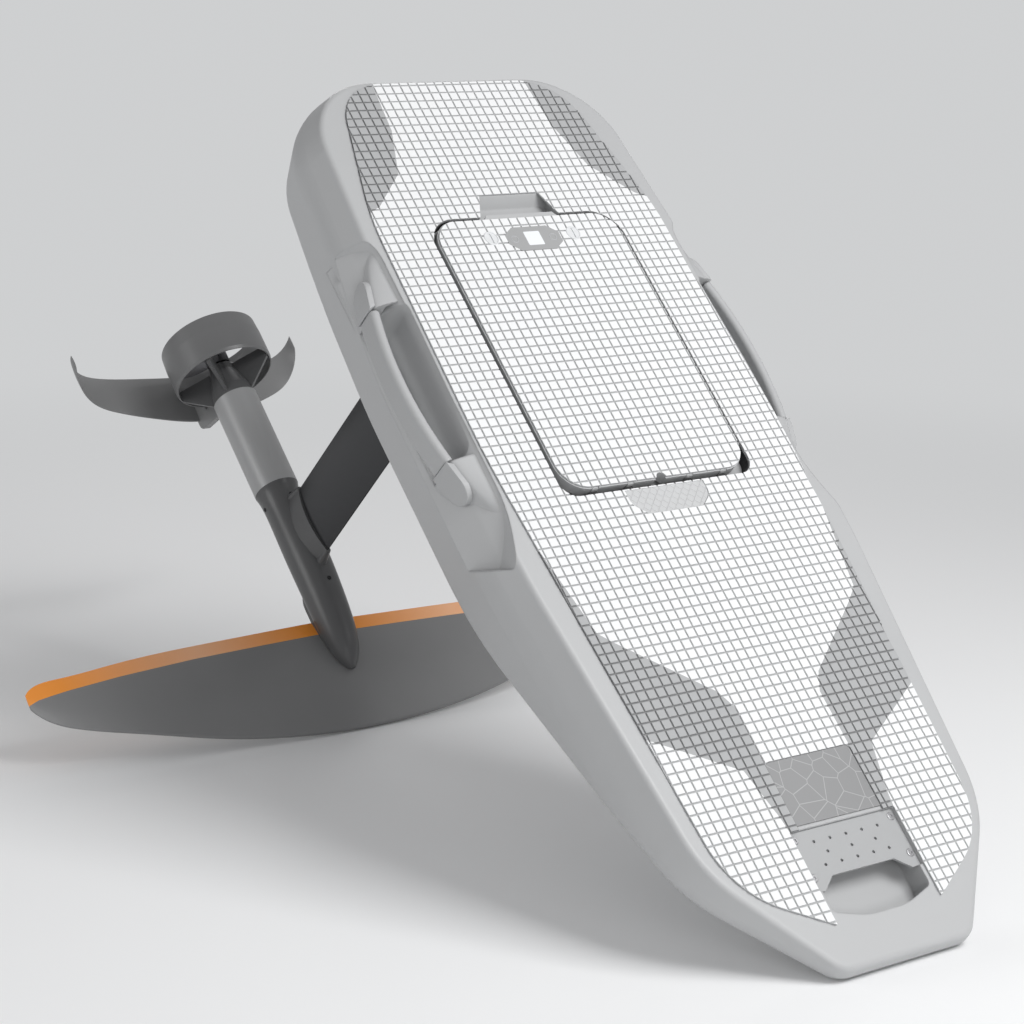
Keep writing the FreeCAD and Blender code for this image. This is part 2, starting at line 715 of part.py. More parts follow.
def cap(x0, x1, round_x, hull_shape):
    """A pill-ended pad from the scoop's wall out to the strap's face."""
    high = STRAP_TOP_Z - STRAP_BOTTOM_Z + 2 * CAP_PROUD
    radius = high / 2
    mid_z = (STRAP_TOP_Z + STRAP_BOTTOM_Z) / 2
    pill = fused([
        box(min(x0, x1), max(x0, x1), 0, 400, mid_z - radius, mid_z + radius),
        rod(round_x, 0, mid_z, (0, 1, 0), radius, 400),
    ])
    band = strap_ring(STRAP_OUTER_Y + CAP_PROUD, SCOOP_INNER_Y - 40 + STRAP_OUTER_Y - STRAP_END_Y,
                      STRAP_REAR_X - CAP_L, STRAP_FRONT_X + CAP_L, mid_z - radius, mid_z + radius)
    return pill.common(band).cut(hull_shape)


def handle_caps(hull_shape):
    radius = (STRAP_TOP_Z - STRAP_BOTTOM_Z) / 2 + CAP_PROUD
    rear_round = STRAP_REAR_X - CAP_L + radius
    front_round = STRAP_FRONT_X + CAP_L - radius
    rear = cap(rear_round, STRAP_REAR_X - CAP_GAP, rear_round, hull_shape)
    front = cap(STRAP_FRONT_X + CAP_GAP, front_round, front_round, hull_shape)
    return Part.makeCompound([max(s.Solids, key=lambda solid: solid.Volume) for s in (rear, front)])


def mast_section(z, wall=0.0):
    """The mast's section: two bowed sides and blunt rounded edges, grown by wall."""
    rear, front = MAST_REAR_X - wall, MAST_REAR_X + MAST_CHORD + wall
    edge, half = MAST_EDGE_T / 2 + wall * 0.6, MAST_T / 2 + wall
    mid = (rear + front) / 2
    round_l = edge * 1.6
    port = Part.Arc(V(rear + round_l, edge, z), V(mid, half, z), V(front - round_l, edge, z)).toShape()
    starboard = Part.Arc(V(front - round_l, -edge, z), V(mid, -half, z), V(rear + round_l, -edge, z)).toShape()
    nose = Part.Arc(V(front - round_l, edge, z), V(front, 0, z), V(front - round_l, -edge, z)).toShape()
    tail = Part.Arc(V(rear + round_l, -edge, z), V(rear, 0, z), V(rear + round_l, edge, z)).toShape()
    return Part.Wire([port, nose, starboard, tail])


def mast():
    top = BOTTOM_Z
    bottom = AXIS_Z + FUSELAGE_R - 6
    return Part.Face(mast_section(bottom)).extrude(V(0, 0, top - bottom))


def base_seat(gap=0.0):
    centre = MAST_REAR_X + MAST_CHORD / 2
    corners = symmetric([
        (centre - BASE_L / 2 - gap, BASE_W / 2 + gap, 24), (centre + BASE_L / 2 + gap, BASE_W / 2 + gap, 24),
    ])
    return prism(corners, BOTTOM_Z - 30, BOTTOM_Z)


def mast_base():
    body = base_seat().common(box(-1000, 1000, -200, 200, BOTTOM_Z - BASE_T, BOTTOM_Z))
    cuts = [mast()]
    for x, y in base_bolt_spots():
        cuts.append(rod(x, y, BOTTOM_Z - BASE_T - 1, (0, 0, 1), BASE_BOLT_R, BASE_T + 2))
    return body.cut(cuts)


def mast_base_bolts():
    bolts = []
    for x, y in base_bolt_spots():
        head = rod(x, y, BOTTOM_Z - BASE_T - 4, (0, 0, 1), BASE_BOLT_HEAD_R, 4)
        shank = rod(x, y, BOTTOM_Z - BASE_T - 1, (0, 0, 1), BASE_BOLT_R, BASE_T + 28)
        bolts.append(fused([head, shank]))
    return Part.makeCompound(bolts)


def drive_circle(x, radius, drop=0.0):
    return Part.Wire(Part.makeCircle(radius, V(x, 0, AXIS_Z - drop), V(1, 0, 0)))


def fuselage_body():
    return Part.makeLoft([drive_circle(x, r, drop) for x, drop, r in FUSELAGE_SECTIONS], True, False)


def collar():
    foot_z = AXIS_Z + FUSELAGE_R - 14
    levels = ((COLLAR_TOP_Z, COLLAR_WALL), (foot_z, COLLAR_FOOT_WALL))
    return Part.makeLoft([mast_section(z, wall) for z, wall in levels], True, True)


def wing_section(y, z, leading, trailing, thick, cant=0.0):
    """A foil section in its own plane: rounded nose, bowed top and bottom, thin blunt tail."""
    chord = leading - trailing
    nose_r = thick * 0.2
    tail_t = min(0.6, thick * 0.15)
    high_x = leading - chord * 0.36
    rise = V(0, -math.sin(math.radians(cant)), math.cos(math.radians(cant)))

    def at(x, height):
        return V(x, y, z) + rise * height

    top = Part.Arc(at(leading - nose_r, thick * 0.24), at(high_x, thick * 0.56), at(trailing, tail_t)).toShape()
    low = Part.Arc(at(trailing, -tail_t), at(high_x, -thick * 0.44), at(leading - nose_r, -thick * 0.2)).toShape()
    nose = Part.Arc(at(leading - nose_r, -thick * 0.2), at(leading, 0), at(leading - nose_r, thick * 0.24)).toShape()
    tail = Part.LineSegment(at(trailing, tail_t), at(trailing, -tail_t)).toShape()
    return Part.Wire([top, tail, low, nose])


def whole_wing(half_sections):
    """Sections from the port tip over the middle to the starboard tip."""
    wires = [wing_section(*s) for s in reversed(half_sections)]
    wires += [wing_section(-s[0], *s[1:5], -s[5]) for s in half_sections[1:]]
    return Part.makeLoft(wires, True, False)


def main_wing():
    return whole_wing([(y, WING_Z, leading, trailing, t, 0) for y, leading, trailing, t in WING_SECTIONS])


def tail_wing():
    return whole_wing([(y, TAIL_WING_Z + rise, a, b, t, cant) for y, rise, a, b, t, cant in TAIL_WING_SECTIONS])


def stripe_prism():
    """A band of even width in front of the main wing's trailing edge."""
    half = [(y, trailing + STRIPE_W) for y, _, trailing, _ in WING_SECTIONS[:-1]]
    tip_y, _, tip_x, _ = WING_SECTIONS[-1]
    half.append((tip_y + 20, tip_x + STRIPE_W))
    front = [(x, y) for y, x in reversed(half)] + [(x, -y) for y, x in half[1:]]
    return prism(sharp(front + [(-260, -tip_y - 20), (-260, tip_y + 20)]), WING_Z - 60, WING_Z + 60)


def fairing():
    """The saddle between the fuselage and the main wing, a lens in plan."""
    half = [(FAIRING_REAR_X, 5, 4), (FAIRING_REAR_X + 60, FAIRING_HALF_WIDTH, 60),
            (FAIRING_FRONT_X - 60, FAIRING_HALF_WIDTH, 60), (FAIRING_FRONT_X, 5, 4)]
    return prism(symmetric(half), WING_Z, AXIS_Z - FUSELAGE_R / 2)


def wing_bolts():
    """Screws up through the wing into the fuselage."""
    head_z = WING_Z - 12
    bolts = []
    for x in WING_BOLT_XS:
        head = rod(x, 0, head_z, (0, 0, 1), WING_BOLT_HEAD_R, 5)
        shank = rod(x, 0, head_z, (0, 0, 1), WING_BOLT_R, 44)
        bolts.append(fused([head, shank]))
    return bolts


def pod():
    return revolved([(POD_REAR_X, 0), (POD_REAR_X, POD_R), (POD_FRONT_X, POD_R), (POD_FRONT_X, 0)])


def tail_housing():
    body = revolved([
        (POD_REAR_X, 0), (POD_REAR_X, POD_R - 2), (POD_REAR_X - 22, POD_R - 5), (HOUSING_END_X + 16, HOUSING_END_R + 3),
        (HOUSING_END_X, HOUSING_END_R), (HOUSING_END_X, 0),
    ])
    return body.cut(rod(HOUSING_END_X - 1, 0, AXIS_Z, (1, 0, 0), SHAFT_R + SHAFT_GAP, SHAFT_DEPTH + 1))


def duct_ring():
    inner = DUCT_R - DUCT_WALL
    return revolved([
        (DUCT_REAR_X, inner + 2), (DUCT_REAR_X, inner + 4), (DUCT_REAR_X + 30, DUCT_R), (DUCT_FRONT_X - 6, DUCT_R),
        (DUCT_FRONT_X, DUCT_R - 2), (DUCT_FRONT_X, inner + 2), (DUCT_FRONT_X - 6, inner),
        (DUCT_REAR_X + 10, inner),
    ])


def duct_struts(housing):
    """Swept plates from the housing out to the duct's front rim."""
    inner = DUCT_R - DUCT_WALL
    blade = Part.Face(Part.makePolygon([
        V(STRUT_FRONT_X, 0, AXIS_Z + 20), V(STRUT_FRONT_X, 0, AXIS_Z + POD_R - 4),
        V(DUCT_FRONT_X + 4, 0, AXIS_Z + inner + 1), V(STRUT_REAR_X, 0, AXIS_Z + inner + 1),
        V(STRUT_REAR_X, 0, AXIS_Z + 20), V(STRUT_FRONT_X, 0, AXIS_Z + 20),
    ])).extrude(V(0, STRUT_T, 0))
    blade.translate(V(0, -STRUT_T / 2, 0))
    bore = rod(DUCT_REAR_X, 0, AXIS_Z, (1, 0, 0), inner, DUCT_FRONT_X - DUCT_REAR_X)
    outside = revolved([(DUCT_FRONT_X, 0), (DUCT_FRONT_X, inner), (STRUT_FRONT_X, inner), (STRUT_FRONT_X, 0)])
    blade = blade.common(bore.fuse(outside))
    blades = []
    for i in range(STRUT_COUNT):
        turned = blade.copy()
        turned.rotate(V(0, 0, AXIS_Z), V(1, 0, 0), 45 + i * 360 / STRUT_COUNT)
        blades.append(turned.cut(housing))
    return Part.makeCompound(blades)


def stabilizer_pylon(housing, duct, wing):
    """The fin that carries the tail wing: from the housing, under the duct's front rim, to the wing."""
    plate = side_prism((
        (POD_REAR_X - 4, AXIS_Z - 20, 0), (POD_REAR_X - 4, AXIS_Z - POD_R + 6, 0), (-690, TAIL_WING_Z - 6, 18),
        (-800, TAIL_WING_Z - 6, 10), (-800, AXIS_Z - DUCT_R + 2, 0), (DUCT_FRONT_X + 8, AXIS_Z - DUCT_R + 4, 0),
        (DUCT_FRONT_X + 8, AXIS_Z - 20, 0),
    ), -PYLON_T / 2, PYLON_T / 2)
    hollow = rod(DUCT_REAR_X - 5, 0, AXIS_Z, (1, 0, 0), DUCT_R - DUCT_WALL / 2, DUCT_FRONT_X - DUCT_REAR_X + 5)
    return plate.cut([housing, duct, wing, hollow])


def propeller():
    hub = revolved([
        (PROP_HUB_REAR_X, 0), (PROP_HUB_REAR_X + 1, 12), (PROP_HUB_REAR_X + 14, PROP_HUB_R - 2),
        (PROP_HUB_REAR_X + 22, PROP_HUB_R), (PROP_HUB_FRONT_X, PROP_HUB_R), (PROP_HUB_FRONT_X, 0),
    ])
    blades = []
    for i in range(PROP_BLADES):
        wires = []
        for radius, chord, pitch, thick in BLADE_SECTIONS:
            ends = V(0, chord / 2, 0), V(0, -chord / 2, 0)
            up, down = V(thick / 2, 0, 0), V(-thick / 2, 0, 0)
            wire = Part.Wire([Part.Arc(ends[0], up, ends[1]).toShape(), Part.Arc(ends[1], down, ends[0]).toShape()])
            wire.rotate(V(0, 0, 0), V(0, 0, 1), pitch)
            wire.translate(V(PROP_X, 0, radius + AXIS_Z))
            wires.append(wire)
        blade = Part.makeLoft(wires, True, False)
        blade.rotate(V(0, 0, AXIS_Z), V(1, 0, 0), i * 360 / PROP_BLADES)
        blades.append(blade)
    return fused([hub] + blades)


def propeller_shaft():
    return rod(PROP_HUB_FRONT_X, 0, AXIS_Z, (1, 0, 0), SHAFT_R, HOUSING_END_X - PROP_HUB_FRONT_X + SHAFT_DEPTH - 2)


def build_nodes():
    nodes = {"hull": hull()}
    nodes.update(pad_pieces())
    nodes["smooth_patch"] = smooth_patch()
    nodes["badge_plate"] = badge_plate()
    nodes["bow_plate"] = bow_plate()
    nodes["bow_plate_screws"] = bow_plate_screws()
    nodes["lid_seal"] = lid_seal()
    nodes["battery"] = battery()
    nodes["hinge_pins"] = hinge_pins()
    nodes["hatch_lid"] = hatch_lid()
    nodes["lid_pad"] = lid_pad()
    nodes["console"] = console()
    nodes["display"] = display()
    nodes["latch_buttons"] = latch_buttons()
    port_strap, port_caps = strap(), handle_caps(nodes["hull"])
    nodes["handle_strap_port"] = port_strap
    nodes["handle_strap_starboard"] = mirrored(port_strap)
    nodes["handle_caps_port"] = port_caps
    nodes["handle_caps_starboard"] = mirrored(port_caps)
    nodes["mast"] = mast()
    nodes["mast_base"] = mast_base()
    nodes["mast_base_bolts"] = mast_base_bolts()
    wing = main_wing()
    stripe = stripe_prism()
    body, saddle = fuselage_body(), fairing()
    bolts = wing_bolts()
    nodes["fuselage"] = body.cut([nodes["mast"], wing] + bolts)
    nodes["mast_collar"] = collar().cut([nodes["mast"], body])
    nodes["wing_fairing"] = saddle.cut([body, wing] + bolts)
    nodes["front_wing"] = wing.cut([stripe] + bolts)
    nodes["front_wing_stripe"] = wing.common(stripe)
    nodes["wing_bolts"] = Part.makeCompound(bolts)
    nodes["pod"] = pod()
    nodes["tail_housing"] = tail_housing()
    nodes["duct_ring"] = duct_ring()
    nodes["duct_struts"] = duct_struts(nodes["tail_housing"])
    nodes["stabilizer"] = tail_wing()
    nodes["stabilizer_pylon"] = stabilizer_pylon(nodes["tail_housing"], nodes["duct_ring"], nodes["stabilizer"])
    nodes["propeller"] = propeller()
    nodes["propeller_shaft"] = propeller_shaft()
    return nodes


def lowest_point(shapes, pitch):
    return min(s.copy().rotated(V(0, 0, 0), V(0, 1, 0), pitch).optimalBoundingBox().ZMin for s in shapes)


def rest_pitch(bow, wing):
    """The nose-down pitch at which the bow and the front wing are equally low."""
    low, high = 30.0, 60.0
    for _ in range(24):
        pitch = (low + high) / 2
        if lowest_point([bow], pitch) > lowest_point([wing], pitch):
            low = pitch
        else:
            high = pitch
    return (low + high) / 2


def place_at_rest(nodes):
    """Pitch everything until bow and wing touch, then stand it on z = 0 with its box centred on the origin."""
    pitch = rest_pitch(nodes["hull"], nodes["front_wing"])
    placed = {name: shape.rotated(V(0, 0, 0), V(0, 1, 0), pitch) for name, shape in nodes.items()}
    bounds = Part.makeCompound(list(placed.values())).optimalBoundingBox()
    shift = V(-(bounds.XMin + bounds.XMax) / 2, -(bounds.YMin + bounds.YMax) / 2, -bounds.ZMin)
    for shape in placed.values():
        shape.translate(shift)
    print("pitch %.4f" % pitch, "shift", [round(v, 4) for v in shift])
    return placed


os.makedirs("parts", exist_ok=True)
for node, solid in place_at_rest(build_nodes()).items():
    solid.exportStep(os.path.join("parts", node + ".step"))
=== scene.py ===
"""Electric hydrofoil surfboard, dressed for the studio: it leans on its bow and its main wing."""
import bpy
import json
import math
from mathutils import Matrix, Vector

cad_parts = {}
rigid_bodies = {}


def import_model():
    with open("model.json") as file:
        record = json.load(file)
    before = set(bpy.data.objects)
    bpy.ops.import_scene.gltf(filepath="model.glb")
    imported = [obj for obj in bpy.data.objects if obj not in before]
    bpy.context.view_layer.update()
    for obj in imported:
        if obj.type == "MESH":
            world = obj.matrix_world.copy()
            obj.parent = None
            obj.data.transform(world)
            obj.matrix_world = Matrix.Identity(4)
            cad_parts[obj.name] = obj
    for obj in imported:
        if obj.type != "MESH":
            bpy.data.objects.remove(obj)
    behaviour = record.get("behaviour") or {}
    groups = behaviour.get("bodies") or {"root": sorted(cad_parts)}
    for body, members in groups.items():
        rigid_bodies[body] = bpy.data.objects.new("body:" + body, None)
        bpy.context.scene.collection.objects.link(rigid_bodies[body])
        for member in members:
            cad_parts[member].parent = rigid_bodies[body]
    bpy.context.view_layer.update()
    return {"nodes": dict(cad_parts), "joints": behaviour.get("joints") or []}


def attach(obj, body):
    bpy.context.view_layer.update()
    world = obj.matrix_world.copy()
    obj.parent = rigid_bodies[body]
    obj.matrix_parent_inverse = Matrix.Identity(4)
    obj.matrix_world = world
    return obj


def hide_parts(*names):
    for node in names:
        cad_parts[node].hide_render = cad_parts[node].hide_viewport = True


for thing in list(bpy.data.objects):
    bpy.data.objects.remove(thing)

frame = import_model()
bpy.ops.object.select_all(action="DESELECT")

# How the board lies
# The board leans nose down. Its own axes run to the bow, to port and up from the deck, and every piece
# is modelled along them and then laid over by this matrix. The drive's axis gives the lean and the
# lid's hinge gives the place.
MM = 0.001
LID_HINGE = Vector((197.5, 0, -4.2)) * MM
joints = {joint["name"]: joint for joint in frame["joints"]}
drive_axis = joints["propeller_spin"]["axis"]
lean = math.atan2(-drive_axis[2], drive_axis[0])
turn = Matrix.Rotation(lean, 4, "Y")
LAID = Matrix.Translation(Vector(joints["lid_hinge"]["pos_m"]) - turn @ LID_HINGE) @ turn


def laid(point):
    """A point on the board, in millimetres along its own axes, in the studio."""
    return LAID @ (Vector(point) * MM)


# Camera
# It stands where the photograph was taken from: over the starboard bow, looking down the board.
CAMERA_PLACE = (1769.4, -2577.1, 2728.4)
CAMERA_RIGHT = Vector((0.4118, 0.8009, 0.4346))
CAMERA_DOWN = Vector((0.8191, -0.1163, -0.5617))
LENS, FILM_WIDTH = 91.4, 36
camera = bpy.data.objects.new("camera", bpy.data.cameras.new("camera"))
bpy.context.scene.collection.objects.link(camera)
camera.data.lens = LENS
camera.data.sensor_width = FILM_WIDTH
looking = Matrix((CAMERA_RIGHT, -CAMERA_DOWN, -CAMERA_RIGHT.cross(CAMERA_DOWN))).transposed().to_4x4()
camera.matrix_world = Matrix.Translation(laid(CAMERA_PLACE)) @ turn @ looking
bpy.context.scene.camera = camera

# Studio
# A plain pale floor. Far from the board it turns into the same even light as the air behind, so no edge
# shows. One broad soft lamp stands over the bow, and three weaker ones fill the sides.
PALE = (0.62, 0.628, 0.635, 1)
FLOOR_WHITE = (0.86, 0.865, 0.87, 1)
FLOOR_SIZE, FLOOR_UNDER = 60, 0.0005
FADE_FROM, FADE_TO = 1.3, 4.5
AIR_WHITE, AIR_STRENGTH = (0.95, 0.95, 0.96, 1), 0.36
bpy.ops.mesh.primitive_plane_add(size=FLOOR_SIZE, location=(0, 0, -FLOOR_UNDER))
floor = bpy.context.object
floor.name = "studio_floor"
floor_paint = bpy.data.materials.new("floor_paint")
floor_paint.use_nodes = True
nodes, links = floor_paint.node_tree.nodes, floor_paint.node_tree.links
nodes["Principled BSDF"].inputs["Base Color"].default_value = FLOOR_WHITE
nodes["Principled BSDF"].inputs["Roughness"].default_value = 0.75
floor_place = nodes.new("ShaderNodeTexCoord")
reach = nodes.new("ShaderNodeVectorMath")
reach.operation = "LENGTH"
links.new(floor_place.outputs["Object"], reach.inputs[0])
fade = nodes.new("ShaderNodeMapRange")
fade.interpolation_type = "SMOOTHSTEP"
fade.inputs["From Min"].default_value = FADE_FROM
fade.inputs["From Max"].default_value = FADE_TO
links.new(reach.outputs["Value"], fade.inputs["Value"])
glow = nodes.new("ShaderNodeEmission")
glow.inputs["Color"].default_value = PALE
both = nodes.new("ShaderNodeMixShader")
links.new(fade.outputs["Result"], both.inputs["Fac"])
links.new(nodes["Principled BSDF"].outputs["BSDF"], both.inputs[1])
links.new(glow.outputs["Emission"], both.inputs[2])
links.new(both.outputs["Shader"], nodes["Material Output"].inputs["Surface"])
floor.data.materials.append(floor_paint)

world = bpy.data.worlds.new("studio_air")
bpy.context.scene.world = world
world.use_nodes = True
nodes, links = world.node_tree.nodes, world.node_tree.links
nodes["Background"].inputs["Color"].default_value = AIR_WHITE
nodes["Background"].inputs["Strength"].default_value = AIR_STRENGTH
seen = nodes.new("ShaderNodeBackground")
seen.inputs["Color"].default_value = PALE
eye_ray = nodes.new("ShaderNodeLightPath")
either = nodes.new("ShaderNodeMixShader")
links.new(eye_ray.outputs["Is Camera Ray"], either.inputs["Fac"])
links.new(nodes["Background"].outputs["Background"], either.inputs[1])
links.new(seen.outputs["Background"], either.inputs[2])
links.new(either.outputs["Shader"], nodes["World Output"].inputs["Surface"])
bpy.context.scene.view_settings.view_transform = "Standard"

# lamp: name, place, what it looks at, width, height, power in watts
LAMPS = (
    ("over_bow", (2.9, 0.9, 3.4), (0.1, 0, 0.5), 2.2, 2.2, 128),
    ("low_bow", (3.6, -1.0, 0.9), (0.5, 0, 0.2), 1.6, 0.8, 20),
    ("starboard", (-1.2, -3.6, 1.5), (-0.4, 0, 0.4), 1.8, 1.4, 23),
    ("behind", (-3.2, 1.6, 2.8), (-0.4, 0, 0.5), 1.4, 1.4, 22),
)
for name, place, aim, width, height, power in LAMPS:
    lamp = bpy.data.lights.new(name, "AREA")
    lamp.shape = "RECTANGLE"
    lamp.size, lamp.size_y, lamp.energy = width, height, power
    stand = bpy.data.objects.new(name, lamp)
    bpy.context.scene.collection.objects.link(stand)
    stand.location = place
    stand.rotation_euler = (Vector(aim) - Vector(place)).to_track_quat("-Z", "Y").to_euler()

# Hull
# A moulded shell in light grey satin lacquer. The surface is fine-grained, with faint handling marks.
HULL_GREY = (0.43, 0.435, 0.44)
HULL_EDGE_R = 5
SHEEN_SWING = 0.12
GRAIN_HEIGHT = 0.2


def finish(name, colour, roughness, metallic=0.0, grain=0.0, grain_size=0.002, drift=0.0, drift_size=0.2):
    """A painted, moulded or metal finish: even colour, slow drift in tone and roughness, fine grain."""
    material = bpy.data.materials.new(name)
    material.use_nodes = True
    nodes, links = material.node_tree.nodes, material.node_tree.links
    shader = nodes["Principled BSDF"]
    shader.inputs["Metallic"].default_value = metallic
    place = nodes.new("ShaderNodeTexCoord")
    board = nodes.new("ShaderNodeMapping")
    board.name = "board axes"
    board.vector_type = "TEXTURE"
    board.inputs["Location"].default_value = LAID.to_translation()
    board.inputs["Rotation"].default_value = (0, lean, 0)
    links.new(place.outputs["Object"], board.inputs["Vector"])
    cloud = nodes.new("ShaderNodeTexNoise")
    cloud.inputs["Scale"].default_value = 1 / drift_size
    cloud.inputs["Detail"].default_value = 5
    links.new(board.outputs["Vector"], cloud.inputs["Vector"])
    tone = nodes.new("ShaderNodeMix")
    tone.name = "tone"
    tone.data_type = "RGBA"
    tone.inputs["A"].default_value = [c * (1 - drift) for c in colour] + [1]
    tone.inputs["B"].default_value = [min(c * (1 + drift), 1) for c in colour] + [1]
    links.new(cloud.outputs["Fac"], tone.inputs["Factor"])
    links.new(tone.outputs["Result"], shader.inputs["Base Color"])
    sheen = nodes.new("ShaderNodeMapRange")
    sheen.inputs["To Min"].default_value = roughness * (1 - SHEEN_SWING)
    sheen.inputs["To Max"].default_value = roughness * (1 + SHEEN_SWING)
    links.new(cloud.outputs["Fac"], sheen.inputs["Value"])
    links.new(sheen.outputs["Result"], shader.inputs["Roughness"])
    grit = nodes.new("ShaderNodeTexNoise")
    grit.inputs["Scale"].default_value = 1 / grain_size
    grit.inputs["Detail"].default_value = 3
    links.new(board.outputs["Vector"], grit.inputs["Vector"])
    bump = nodes.new("ShaderNodeBump")
    bump.name = "grain"
    bump.inputs["Strength"].default_value = grain
    bump.inputs["Distance"].default_value = grain_size * GRAIN_HEIGHT
    links.new(grit.outputs["Fac"], bump.inputs["Height"])
    links.new(bump.outputs["Normal"], shader.inputs["Normal"])
    return material


def dress(node, material):
    """Gives a solid that shows as it is its finish."""
    part = frame["nodes"][node]
    part.data.materials.clear()
    part.data.materials.append(material)


hull_lacquer = finish("hull_lacquer", HULL_GREY, 0.42, grain=0.25, grain_size=0.0012, drift=0.02)
nodes, links = hull_lacquer.node_tree.nodes, hull_lacquer.node_tree.links
rounding = nodes.new("ShaderNodeBevel")
rounding.inputs["Radius"].default_value = HULL_EDGE_R * MM
links.new(rounding.outputs["Normal"], nodes["grain"].inputs["Normal"])
dress("hull", hull_lacquer)

# Deck pad
# Moulded foam, white or mid-grey, cut into small square lugs by grooves whose walls and floors are painted
# darker as shade. One sheet, glued on, open round the lid, the patch, the badge and the recess.
PITCH_X, PITCH_Y = 17.136, 17.864
GRID_SHIFT_Y = 0.25
GROOVE_W = 2.6
GROOVE_DEPTH = 2.0
LUG_DRAFT, LUG_EDGE = 0.15, 0.55
SLAB_FOOT = 6
PAD_T = 4
DECK_REACH = (-640, 990, -316, 316)
BADGE_TO_PLATE = (804, 830, -84.5, 84.5)
FOAM_WHITE = (0.76, 0.765, 0.77)
FOAM_GREY = (0.38, 0.385, 0.39)
# The grooves' colours are painted shade, darker than the lugs' tops.
GROOVE_SHADE_ON_WHITE = (0.40, 0.405, 0.41)
GROOVE_SHADE_ON_GREY = (0.20, 0.202, 0.205)


def tread_slab(name, x0, x1, y0, y1, top):
    """A slab of grooved foam with lugs on the deck's own grid, its top at that height."""
    first_x, last_x = math.floor(x0 / PITCH_X), math.ceil(x1 / PITCH_X)
    first_y, last_y = math.floor(y0 / PITCH_Y), math.ceil(y1 / PITCH_Y)
    rows, columns = last_x - first_x, last_y - first_y
    middle_x, middle_y = (first_x + last_x) / 2, (first_y + last_y) / 2 + GRID_SHIFT_Y
    bpy.ops.mesh.primitive_grid_add(x_subdivisions=rows, y_subdivisions=columns, size=1)
    slab = bpy.context.object
    slab.name = name
    slab.scale = (rows * PITCH_X * MM, columns * PITCH_Y * MM, 1)
    slab.location = (middle_x * PITCH_X * MM, middle_y * PITCH_Y * MM, (top - GROOVE_DEPTH) * MM)
    bpy.ops.object.transform_apply()
    bpy.ops.object.mode_set(mode="EDIT")
    bpy.ops.mesh.select_mode(type="FACE")
    bpy.ops.mesh.select_all(action="SELECT")
    bpy.ops.mesh.inset(thickness=GROOVE_W / 2 * MM, use_individual=True)
    bpy.ops.mesh.inset(thickness=LUG_DRAFT * MM, depth=(GROOVE_DEPTH - LUG_EDGE) * MM, use_individual=True)
    bpy.ops.mesh.inset(thickness=LUG_EDGE * MM, depth=LUG_EDGE * MM, use_individual=True)
    bpy.ops.mesh.select_mode(type="EDGE")
    bpy.ops.mesh.select_all(action="DESELECT")
    bpy.ops.mesh.select_non_manifold()
    bpy.ops.mesh.extrude_region_move(TRANSFORM_OT_translate={"value": (0, 0, -SLAB_FOOT * MM)})
    bpy.ops.mesh.edge_face_add()
    bpy.ops.mesh.select_all(action="SELECT")
    bpy.ops.mesh.normals_make_consistent(inside=False)
    bpy.ops.object.mode_set(mode="OBJECT")
    return slab


def pick(piece):
    """Selects one piece alone, for the operators that follow."""
    bpy.ops.object.select_all(action="DESELECT")
    piece.select_set(True)
    bpy.context.view_layer.objects.active = piece


def carve(piece, tool, operation="DIFFERENCE"):
    """Cuts a piece with a second solid, which is then thrown away."""
    pick(piece)
    cut = piece.modifiers.new("cut", "BOOLEAN")
    cut.operation = operation
    cut.object = tool
    cut.solver = "MANIFOLD"
    bpy.ops.object.modifier_apply(modifier="cut")
    bpy.data.objects.remove(tool)


def cut_box(piece, x0, x1, y0, y1, z0, z1):
    """Takes a box, in millimetres along the board's axes, out of a piece."""
    middle = Vector((x0 + x1, y0 + y1, z0 + z1)) / 2 * MM
    bpy.ops.mesh.primitive_cube_add(size=1, location=middle)
    block = bpy.context.object
    block.scale = ((x1 - x0) * MM, (y1 - y0) * MM, (z1 - z0) * MM)
    bpy.ops.object.transform_apply()
    carve(piece, block)


def merged_copy(node):
    """A closed copy of a solid, its loose triangles merged, along the board's own axes."""
    twin = frame["nodes"][node].copy()
    twin.data = frame["nodes"][node].data.copy()
    twin.parent = None
    bpy.context.scene.collection.objects.link(twin)
    twin.data.materials.clear()
    twin.data.transform(LAID.inverted())
    pick(twin)
    bpy.ops.object.mode_set(mode="EDIT")
    bpy.ops.mesh.select_all(action="SELECT")
    bpy.ops.mesh.remove_doubles(threshold=0.02 * MM)
    bpy.ops.object.mode_set(mode="OBJECT")
    return twin


def cut_to_sheet(slab, node, top, thick):
    """Trims a copy of the slab to a sheet's outline, with the sheet raised to stand through it."""
    cutter = merged_copy(node)
    for point in cutter.data.vertices:
        above = point.co.z > (top - thick / 2) * MM
        point.co.z = (top + GROOVE_DEPTH + 1) * MM if above else (top - thick) * MM
    piece = slab.copy()
    piece.data = slab.data.copy()
    piece.name = node + "_tread"
    bpy.context.scene.collection.objects.link(piece)
    carve(piece, cutter, "INTERSECT")
    piece.data.materials.clear()
    return piece


def lay_down(piece, body):
    """Lays a finished piece over to the board's lean, its place in its mesh, and lets it ride."""
    piece.data.transform(LAID)
    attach(piece, body)


